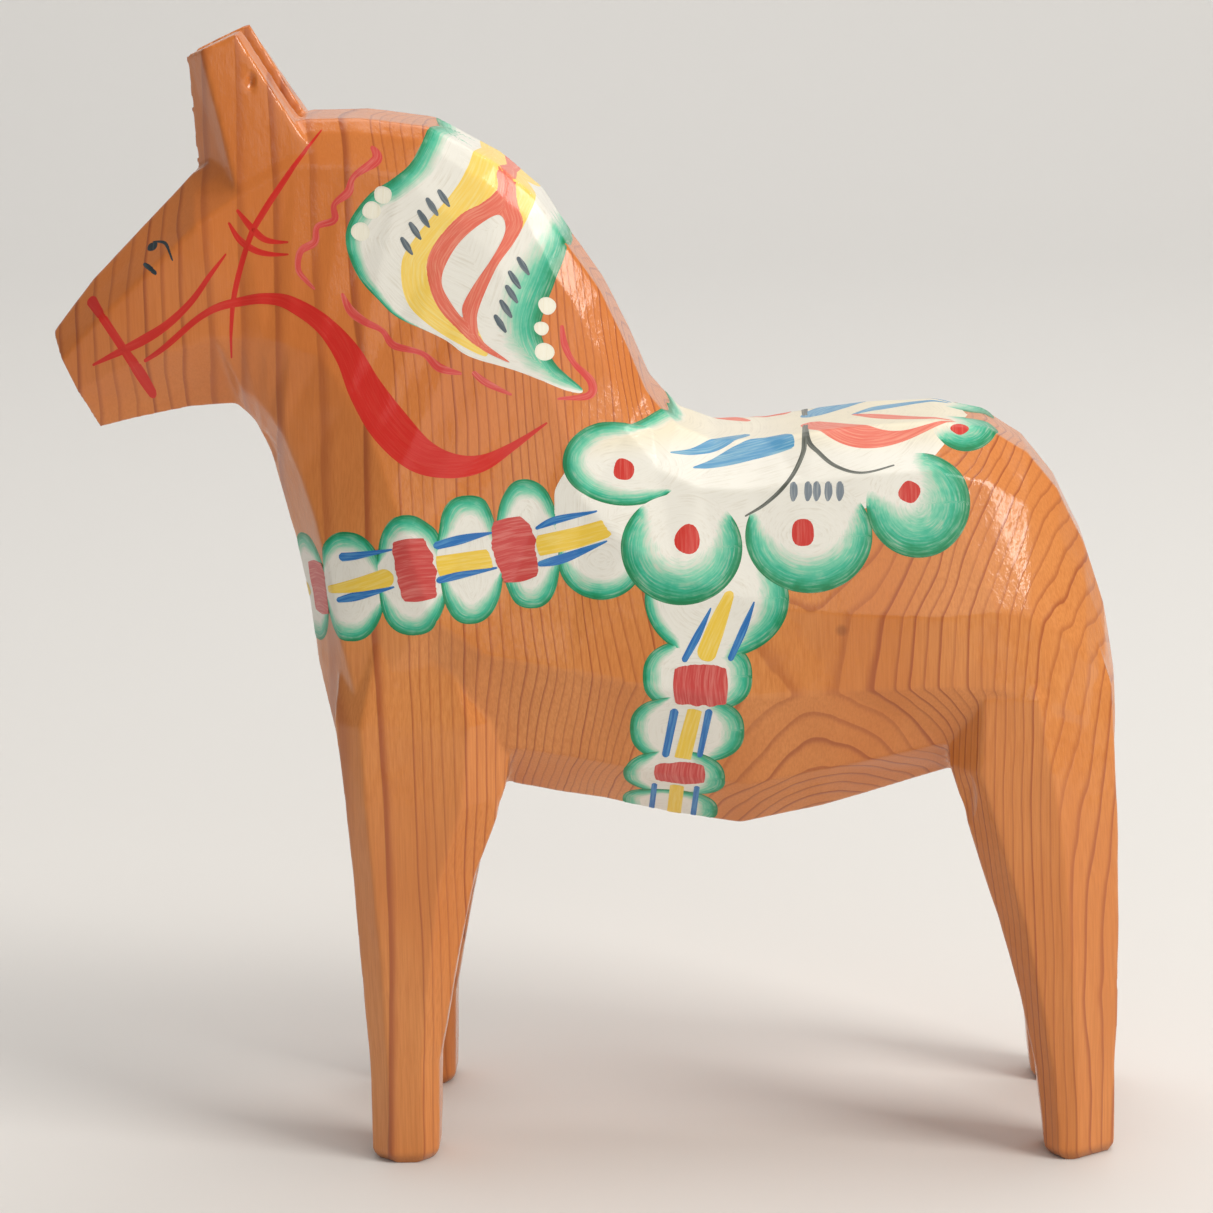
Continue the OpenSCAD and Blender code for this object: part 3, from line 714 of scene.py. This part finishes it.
# Each paint: the record's slot that it belongs to, and its material.
PAINTS = {
    "ground": ("paint_white", ground_paint("ground")),
    "saddle ground": ("paint_white", ground_paint("saddle_ground", 125)),
    "cream": ("paint_white", brush_paint("cream", srgb(246, 243, 226), srgb(238, 232, 208))),
    "clear red": ("paint_red", brush_paint("clear_red", srgb(212, 36, 24), srgb(216, 58, 42))),
    "block red": ("paint_red", brush_paint("block_red", srgb(206, 72, 68), srgb(228, 134, 124))),
    "dot red": ("paint_red", brush_paint("dot_red", srgb(208, 50, 40), srgb(222, 104, 90))),
    "coral": ("paint_red", brush_paint("coral", srgb(232, 108, 84), srgb(244, 160, 132))),
    "thin red": ("paint_red", brush_paint("thin_red", srgb(216, 70, 66), srgb(230, 128, 112))),
    "mane yellow": ("paint_yellow", brush_paint("mane_yellow", srgb(252, 214, 96), srgb(252, 230, 150))),
    "strap yellow": ("paint_yellow", brush_paint("strap_yellow", srgb(244, 206, 74), srgb(250, 224, 130))),
    "line blue": ("paint_blue", brush_paint("line_blue", srgb(38, 112, 186), srgb(98, 164, 210))),
    "petal blue": ("paint_blue", brush_paint("petal_blue", srgb(76, 150, 196), srgb(146, 194, 210))),
    "tick grey": ("paint_grey", brush_paint("tick_grey", srgb(84, 98, 108), srgb(140, 150, 154))),
    "faint grey": ("paint_grey", brush_paint("faint_grey", srgb(122, 134, 144), srgb(176, 182, 184))),
    "arc grey": ("paint_grey", brush_paint("arc_grey", srgb(84, 88, 80), srgb(146, 150, 142))),
    "eye black": ("paint_grey", brush_paint("eye_black", srgb(38, 52, 58), srgb(66, 88, 94))),
}

add_camera()
add_stage()
add_light()
body = carve_body()
skin = Skin(body)


# ---- Motifs ----
# All places and widths are in mm. The right side repeats the left, but for the colours of the petals.

LEFT, RIGHT = -1, 1
OVER = 0.13   # where the paint on a ground starts, in mm over the wood


def both_sides(name, paint, place, sheets, under=OVER, coat=0.06):
    for side, word in ((LEFT, "left"), (RIGHT, "right")):
        film(f"{name}_{word}", paint, place, [side], sheets, under, coat)


def oval(u, v, wide, high, *rims, square=1.0):
    """A closed outline of (u, v, rim width) round (u, v), with those half sizes. Each rim is its greatest
    width, the direction where that is, in degrees, and how many degrees to each side it thins out to nothing.
    A square below 1 fills the corners out."""
    rows = []
    for angle in range(0, 360, 12):
        across, up = math.cos(math.radians(angle)), math.sin(math.radians(angle))
        widths = [0]
        for width, direction, spread in rims:
            off = abs((angle - direction + 180) % 360 - 180) / spread
            widths.append(width * math.sqrt(max(0, 1 - off ** 2)))
        rows.append((u + wide * math.copysign(abs(across) ** square, across),
                     v + high * math.copysign(abs(up) ** square, up), max(widths)))
    return rows


def plain(points, rim=0):
    """The outline through some points, with the same rim all round."""
    return [(u, v, rim) for u, v in points]


def paint_strap():
    places = [(0, 101.5, 7, 9.5), (-13, 102.5, 7.5, 9.5), (-26.5, 104.5, 6.8, 9.5), (-38, 107, 6, 10.5),
              (-48, 109.5, 5.5, 11), (-58.5, 112, 5.5, 11)]
    beads = [oval(*place, (2.2, -90, 80), (2.2, 90, 80), square=0.85) for place in places]
    middle = [(0, v) for v in np.arange(88, 116, OUTLINE_STEP)]
    sheet = fill(beads, seam=middle, beyond=lambda p: p[:, 0] > 0)
    film("strap_ground", "ground", skin.chest, [LEFT, RIGHT], [sheet])
    blocks = [
        stroke([(-12, 102.5, 8), (-16.5, 103, 9.5), (-21, 103.5, 8.5)], (0.9, 1.2), 3, 0.1),
        stroke([(-35, 107.5, 10), (-38.5, 108, 11), (-42.5, 108.5, 10)], (0.9, 1.2), 1, 0.1),
        stroke([(-52, 110.5, 10), (-56, 111, 11), (-60, 112, 10)], (0.9, 1.2), 2, 0.1),
    ]
    both_sides("strap_red", "block red", skin.chest, blocks)
    bars = [
        stroke([(-1, 101, 2.5), (-11.5, 101.5, 2.5)], (0.4, 0.8), 9),
        stroke([(-21, 103.5, 1), (-28.5, 105, 2.5), (-35, 107, 3.5)], (0.8, 0.4), 4),
        stroke([(-42, 108.5, 3.5), (-52, 109.5, 3.5)], (0.4, 0.4), 5, 0.1),
        stroke([(-59.5, 111.5, 3.5), (-67, 113, 3.5), (-73.5, 115, 3)], (0.4, 1.8), 6, 0.2),
    ]
    both_sides("strap_yellow", "strap yellow", skin.chest, bars)
    lines = [
        [(-24.5, 109.5, 1.5), (-28, 110, 1.3), (-35, 111.5, 0.3)],
        [(-24, 102, 0.8), (-28, 103, 1.5), (-35, 105, 0.3)],
        [(-42, 112, 1.3), (-46.5, 113, 1.6), (-52.5, 114, 0.3)],
        [(-42, 106, 1), (-46, 107, 1.6), (-52.5, 108, 0.3)],
        [(-59.5, 114.5, 0.5), (-63.5, 116, 1.3), (-71, 117.5, 0.3)],
        [(-60, 108.5, 0.8), (-64.5, 109.5, 1.6), (-72.5, 112.5, 0.3)],
    ]
    both_sides("strap_blue", "line blue", skin.chest,
               [stroke(line, number=20 + i) for i, line in enumerate(lines)])


def paint_saddle():
    blanket = plain([(-4.5, 23.5), (2, 31)])
    blanket += plain([(7, 33.5), (11.5, 36.5), (14, 42), (15, 60)], 1.6)
    blanket += plain([(40, 66), (66, 62), (66, 40), (62, 30), (52, 20), (30, 12), (10, 8), (2, 5), (-5, 10),
                      (-5.5, 19)])
    lobes = [
        oval(2.5, 9.5, 7.5, 7, (2.4, -100, 95)),
        oval(22.5, 2.5, 12.5, 10.5, (1.6, 200, 40), (3.4, -15, 65)),    # over the girth
        oval(6.5, 26.5, 10.5, 7.5, (2.6, 195, 125)),                    # the topmost in front
        oval(38.5, 13.5, 11, 10, (4.4, -85, 115)),
        oval(16.5, 11.5, 10.5, 10, (5, -95, 130)),
        oval(57.5, 19, 9, 9.5, (6, -50, 130)),
        oval(66, 35.5, 6, 6.5, (5, -20, 115)),                          # on the croup
    ]
    spine = [(u, skin.spine(u)) for u in np.arange(8, 74, OUTLINE_STEP)]
    tops = np.array(spine)
    sheet = fill([blanket] + lobes, seam=spine,
                 beyond=lambda p: p[:, 1] > np.interp(p[:, 0], tops[:, 0], tops[:, 1]) - 1e-3)
    film("saddle_ground", "saddle ground", skin.barrel, [LEFT, RIGHT], [sheet], 0.03)
    dots = [(6.5, 25.5, 1.8, 2), (17.5, 13, 2.2, 2.7), (37.5, 14, 2, 2.5), (56, 21, 1.8, 2),
            (65, 33.5, 1.5, 1.2)]
    both_sides("saddle_red_dots", "dot red", skin.barrel,
               [dab(*dot, number=30 + i) for i, dot in enumerate(dots)])
    front_petals = [
        stroke([(18.5, 26.5, 0.3), (22, 27.5, 2), (26.5, 29.5, 4), (31.5, 31.5, 5), (36.5, 33, 4.5)],
               (0, 0.6), 41, 0.3),
        stroke([(14.5, 29.5, 0.3), (18.5, 30, 1.5), (22.5, 32, 3), (26, 35, 3), (28.5, 37.5, 1)],
               (0, 0.6), 42),
    ]
    rear_petals = [
        stroke([(38.5, 43, 3), (41, 38.5, 6), (45.5, 34, 6.5), (50, 32, 4.5), (56, 32.5, 2), (64.5, 36, 0.3)],
               (0.4, 0), 43),
        stroke([(46.5, 46.5, 0.6), (51.5, 42.5, 3.5), (57.5, 39, 2.5), (64, 37, 0.3)], (0, 0), 44),
    ]
    for colour, paint, left, right in (("blue", "petal blue", front_petals, rear_petals),
                                       ("red", "coral", rear_petals, front_petals)):
        for side, word, sheets in ((LEFT, "left", left), (RIGHT, "right", right)):
            film(f"saddle_{colour}_petals_{word}", paint, skin.barrel, [side], sheets, OVER, 0.06)
    arcs = [
        [(38, 41, 0.6), (38, 32.5, 0.9), (37.5, 28.5, 0.8), (35, 23, 0.7), (31.5, 19.5, 0.6),
         (27.5, 17, 0.3)],
        [(38.5, 41, 0.6), (38.5, 32.5, 0.9), (40.5, 29, 0.8), (43.5, 26, 0.7), (48, 24.5, 0.5),
         (53.5, 26, 0.3)],
    ]
    both_sides("saddle_arcs", "arc grey", skin.barrel,
               [stroke(arc, number=51 + i) for i, arc in enumerate(arcs)], 0.15)
    ticks = [stroke([(u, 23, 1), (u, 21, 1.4), (u - 0.2, 19.5, 0.5)], number=60 + i)
             for i, u in enumerate((36, 38.5, 40, 42, 44))]
    both_sides("saddle_ticks", "faint grey", skin.barrel, ticks)


def paint_girth():
    beads = [
        oval(*place, (2, 180, 75), (2.6, 0, 75), square=0.8)
        for place in ((19, -11, 9.5, 6.5), (17, -21.5, 10, 7), (14.5, -32, 9, 6))
    ] + [oval(13.5, -42.5, 8.5, 6, (2, 180, 100), (2.4, 0, 100), square=0.8)]
    for side, word in ((LEFT, "left"), (RIGHT, "right")):
        film(f"girth_ground_{word}", "ground", skin.barrel, [side], [fill(beads)])
    blocks = [
        stroke([(19.5, -8.5, 8.5), (19.5, -12.5, 9.5), (19.5, -17, 8.5)], (0.8, 1.2), 71, 0.1),
        stroke([(15.5, -28, 8), (15.5, -31, 9), (15.5, -34.5, 8)], (0.8, 1), 72, 0.1),
    ]
    both_sides("girth_red", "block red", skin.barrel, blocks)
    bars = [
        stroke([(25, 4, 1.5), (22.5, -2, 3), (20, -8.5, 3.5)], (0.4, 0.4), 73),
        stroke([(18.5, -17, 2.5), (16, -28, 3)], (0.3, 0.5), 74, 0.1),
        stroke([(15, -34.5, 2.5), (14, -46.5, 2.5)], (0.3, 0.8), 75, 0.2),
    ]
    both_sides("girth_yellow", "strap yellow", skin.barrel, bars)
    lines = [
        [(21.5, 1, 0.3), (19, -4, 1.3), (16.5, -8.5, 1)], [(29, 2, 0.3), (27, -3, 1.3), (24.5, -8.5, 1)],
        [(15, -17, 1.5), (13, -27.5, 1.3)], [(21, -17, 1.3), (19, -27.5, 1)],
        [(11, -34.5, 1), (10, -46, 1)], [(18.5, -34.5, 1), (17.5, -46, 1)],
    ]
    both_sides("girth_blue", "line blue", skin.barrel,
               [stroke(line, (0, 0.3), 80 + i) for i, line in enumerate(lines)])


def paint_mane():
    ground = [
        (-24.5, 166, 2.2), (-28, 158.5, 2.5), (-30, 155, 2.4), (-33, 152.5, 2.2), (-37, 150, 2),
        (-40.5, 145.5, 1.9), (-41, 141.5, 1.7), (-39, 136.5, 1.3), (-35.5, 132.5, 0.8), (-32, 129.5, 0.4),
        (-24.5, 126, 0.1), (-20, 123, 0), (-11.5, 120.5, 0), (-3, 117.5, 0), (-0.5, 118, 0.3), (-5, 122, 2.2),
        (-7.5, 127, 4), (-7, 131, 5),
        (-5, 136.5, 4.5), (-3, 143, 3), (-3, 149.5, 1.5), (-7.5, 154.5, 0), (-12.5, 159, 0), (-18, 163.5, 0),
    ]
    yellow = [
        (-17, 163.5), (-20, 155), (-23, 150), (-29, 143), (-31.5, 138.5), (-30.5, 132), (-25, 127),
        (-17, 123), (-18.5, 128), (-18.5, 131.5), (-15, 138), (-11.5, 143.5), (-9.5, 147.5), (-8.5, 152),
        (-12, 158.5),
    ]
    leaf = [
        (-13, 160.5), (-15, 155), (-15, 151.5), (-17.5, 149), (-21, 147), (-25, 143), (-27, 139.5),
        (-27, 136), (-25.5, 131.5), (-22, 127.5), (-18.5, 124.5), (-13, 122), (-17.5, 125.5), (-18.5, 128.5),
        (-18, 131.5), (-15, 138), (-12, 142.5), (-10.5, 146), (-11.5, 150), (-12, 157),
    ]
    gap = [
        (-14.5, 147), (-13.5, 144.5), (-15.5, 140), (-19, 135), (-21, 131.5), (-21, 129.5), (-23, 132),
        (-24.5, 135), (-24, 138), (-21.5, 142), (-17.5, 145.5),
    ]
    for side, word in ((LEFT, "left"), (RIGHT, "right")):
        film(f"mane_ground_{word}", "ground", skin.flank, [side], [fill([ground])])
    both_sides("mane_yellow", "mane yellow", skin.flank, [fill([plain(yellow)], [plain(gap)])], 0.1, 0.05)
    both_sides("mane_red_leaf", "coral", skin.flank, [fill([plain(leaf)], [plain(gap)])], 0.14)
    tick_tops = [(-31.5, 143), (-30, 145.5), (-28.5, 147.5), (-27, 149.5), (-25, 151),
                 (-11.5, 140), (-13, 137.5), (-13.5, 135), (-14.5, 132.5), (-15.5, 130)]
    ticks = [stroke([(u, v, 0.6), (u + 1, v - 1.5, 1.1), (u + 2, v - 3, 0.4)], number=90 + i)
             for i, (u, v) in enumerate(tick_tops)]
    both_sides("mane_ticks", "tick grey", skin.flank, ticks, 0.14)
    dots = [(-34.5, 150, 1.6, 1.5), (-36.5, 147.5, 1.7, 1.5), (-38.5, 144, 1.7, 1.6),
            (-6.5, 132, 1.6, 1.5), (-7.5, 128, 1.3, 1.2), (-7, 124, 1.7, 1.6)]
    both_sides("mane_dots", "cream", skin.flank,
               [dab(*dot, number=100 + i, rough=0.03) for i, dot in enumerate(dots)], 0.05, 0.45)
    squiggles = [
        [(-36.5, 158.5, 0.6), (-35.5, 156, 1.9), (-39.5, 153, 1), (-40.5, 150.5, 1.5), (-43, 148.5, 1),
         (-43, 146, 1.3), (-46, 145, 1), (-46.5, 142.5, 1.3), (-49, 141, 1.2), (-49.5, 138, 1),
         (-48, 136, 0.8), (-46.5, 134.5, 0.4)],
        [(-42, 134, 0.5), (-40.5, 131, 1.5), (-38, 129, 1.3), (-35, 127.5, 0.9), (-33, 125, 1.3),
         (-28, 123.5, 0.9), (-25, 121, 1.5), (-21, 120, 0.4)],
        [(-19.5, 120.5, 0.8), (-17, 118.5, 1.2), (-12.5, 116.5, 0.4)],
        [(-4, 129, 0.6), (-3.5, 125.5, 1.2), (-2, 122.5, 1), (1, 119.5, 1.5), (0.5, 117, 1.3),
         (-5, 116, 0.4)],
    ]
    both_sides("mane_squiggles", "thin red", skin.flank,
               [stroke(line, (0.2, 0.4), 110 + i) for i, line in enumerate(squiggles)], 0)


def paint_head():
    straps = [
        [(-87.5, 136.5, 2.2), (-85, 132.5, 1.6), (-81, 126.5, 1.5), (-78.5, 123, 2), (-76.5, 120, 1.4)],
        [(-87, 124.5, 0.4), (-81, 126.5, 1.3), (-77, 128, 1.6), (-73, 130, 1.4), (-68.5, 133.5, 1.1),
         (-65, 137.5, 0.8), (-62, 141, 0.3)],
        [(-45, 161.5, 0.3), (-50.5, 154, 0.9), (-55, 148, 1.1), (-58, 143, 1), (-61, 134, 0.9),
         (-62, 124.5, 0.3)],
        [(-60, 148, 0.5), (-57.5, 145, 1.2), (-55, 143, 1), (-51, 142.5, 0.3)],
        [(-61.5, 146, 0.4), (-59.5, 143, 1.1), (-56, 141, 1), (-51, 140.5, 0.3)],
    ]
    both_sides("bridle", "clear red", skin.flank,
               [stroke(line, (0.1, 0.2), 120 + i) for i, line in enumerate(straps)], 0)
    rein = [
        (-77.5, 124.5, 0.5), (-73.5, 126.5, 1), (-67, 131, 1.1), (-61.5, 133, 1.4), (-54.5, 133.5, 1.9),
        (-50, 132, 2.6), (-45, 128.5, 3.3), (-41, 123.5, 4.6), (-38, 117.5, 6), (-34, 111.5, 7),
        (-29, 106.5, 6.2), (-23.5, 104.5, 4.4), (-18, 105, 2.8), (-12.5, 108, 1.4), (-6.5, 112, 0.3),
    ]
    both_sides("rein", "clear red", skin.flank, [stroke(rein, (0, 0.2), 130)], 0, 0.09)
    eye = [
        dab(-75.5, 143.5, 1, 0.9, 140),
        stroke([(-75.5, 144.5, 0.3), (-73, 143.5, 0.6), (-71.5, 140, 0.3)], number=141),
        stroke([(-77, 140.5, 0.5), (-76, 139.5, 0.9), (-74.5, 138, 0.7)], number=142),
    ]
    both_sides("eye", "eye black", skin.flank, eye, 0)


paint_strap()
paint_saddle()
paint_girth()
paint_mane()
paint_head()
